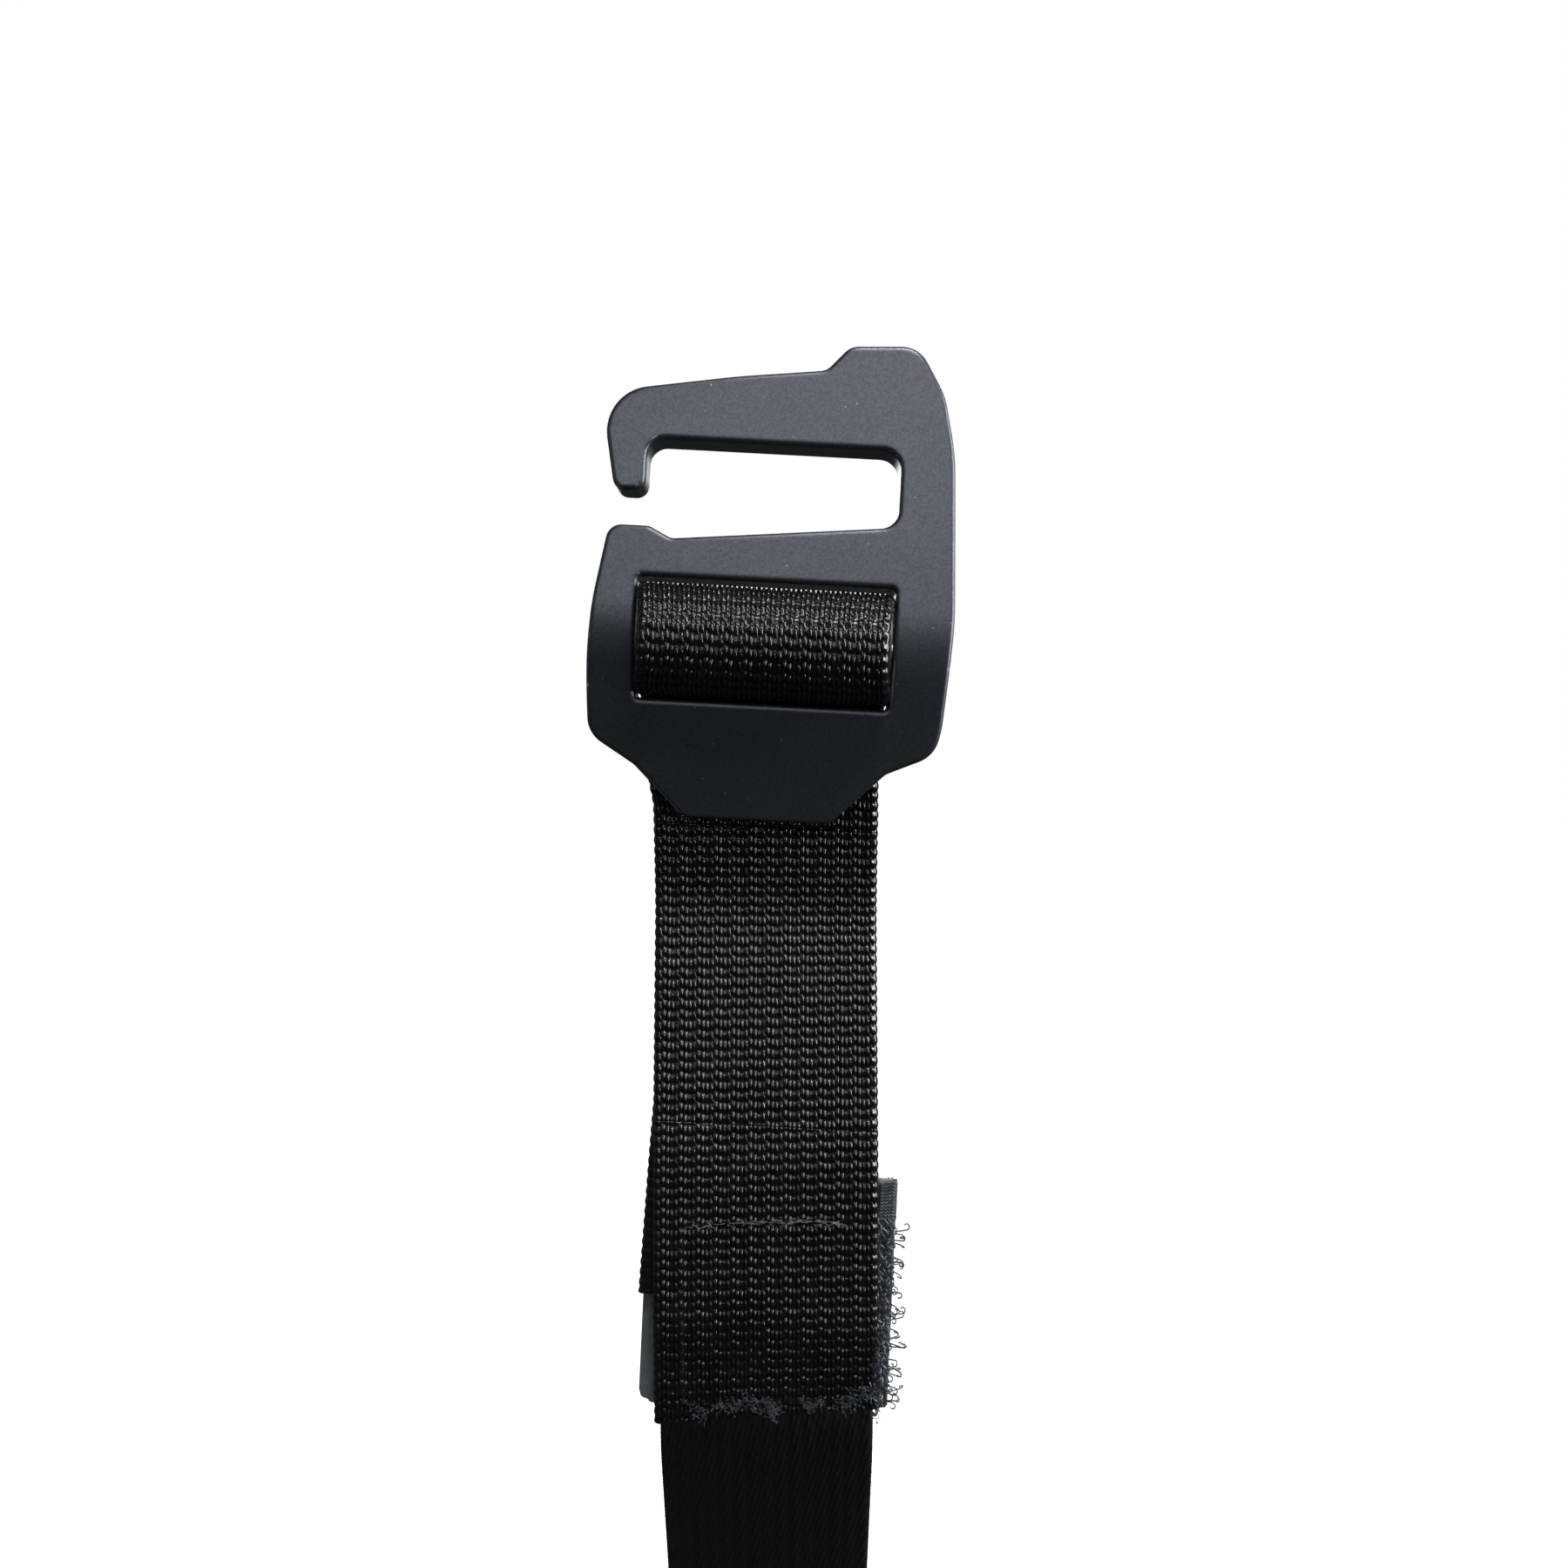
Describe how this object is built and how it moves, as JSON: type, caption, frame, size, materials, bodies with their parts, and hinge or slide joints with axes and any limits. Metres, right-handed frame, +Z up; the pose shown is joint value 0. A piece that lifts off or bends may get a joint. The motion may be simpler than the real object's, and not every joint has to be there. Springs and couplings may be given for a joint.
{
  "type": "tourniquet",
  "caption": "Webbing tourniquet with a bent flat G-hook, a strap folded round its roller and a hook-and-loop band that ends in a sewn loop.",
  "frame": {"origin": "where the underside of the hook's arm rests on the bar or ring that it hangs from, in the middle of the strap's width", "axes": "+X across the strap to the right as seen from the hook's front, +Y away from the front, +Z up along the hanging strap"},
  "size_m": [0.0378, 0.0368, 0.3496],
  "materials": {
    "hook_plate": "matte bead-blasted black anodised",
    "axle_steel": "ground",
    "roller_plastic": "matte moulded",
    "coarse_webbing": "coarse woven nylon webbing",
    "hook_tape": "hook side of hook-and-loop tape",
    "loop_tape": "loop side of hook-and-loop tape, brushed pile",
    "grey_thread": "grey sewing thread",
    "black_thread": "black sewing thread",
    "fine_band": "fine twill-like woven band, matte"
  },
  "bodies": {
    "hook": {"g_hook": "hook_plate", "axle_pin": "axle_steel"},
    "roller_body": {"roller": "roller_plastic"},
    "strap": {"adjuster_webbing": "coarse_webbing", "hook_patch": "hook_tape", "box_stitch": "grey_thread"},
    "band_1": {"band_segment_1": "fine_band", "loop_patch": "loop_tape", "loop_patch_stitch": "black_thread"},
    "band_2": {"band_segment_2": "fine_band"},
    "band_3": {"band_segment_3": "fine_band"},
    "band_4": {"band_segment_4": "fine_band", "end_bar_tacks": "black_thread"}
  },
  "joints": [
    {"name": "roller_spin", "type": "hinge", "parent": "hook", "child": "roller_body", "pos_m": [0, 0, -0.02003], "axis": [0.9986, 0, -0.0523], "continuous": true},
    {"name": "strap_swing", "type": "hinge", "parent": "hook", "child": "strap", "pos_m": [0, 0, -0.02003], "axis": [0.9986, 0, -0.0523], "range_deg": [0, 75]},
    {"name": "band_peel", "type": "hinge", "parent": "strap", "child": "band_1", "pos_m": [0, 0.01285, -0.07753], "axis": [1, 0, 0], "range_deg": [0, 60]},
    {"name": "band_flex_1", "type": "hinge", "parent": "band_1", "child": "band_2", "pos_m": [0, 0.01759, -0.11641], "axis": [1, 0, 0], "range_deg": [-60, 60], "stiffness_Nm_per_rad": 0.02},
    {"name": "band_flex_2", "type": "hinge", "parent": "band_2", "child": "band_3", "pos_m": [0, 0.026, -0.18503], "axis": [1, 0, 0], "range_deg": [-60, 60], "stiffness_Nm_per_rad": 0.02},
    {"name": "band_flex_3", "type": "hinge", "parent": "band_3", "child": "band_4", "pos_m": [0, 0.026, -0.26003], "axis": [1, 0, 0], "range_deg": [-60, 60], "stiffness_Nm_per_rad": 0.02}
  ]
}
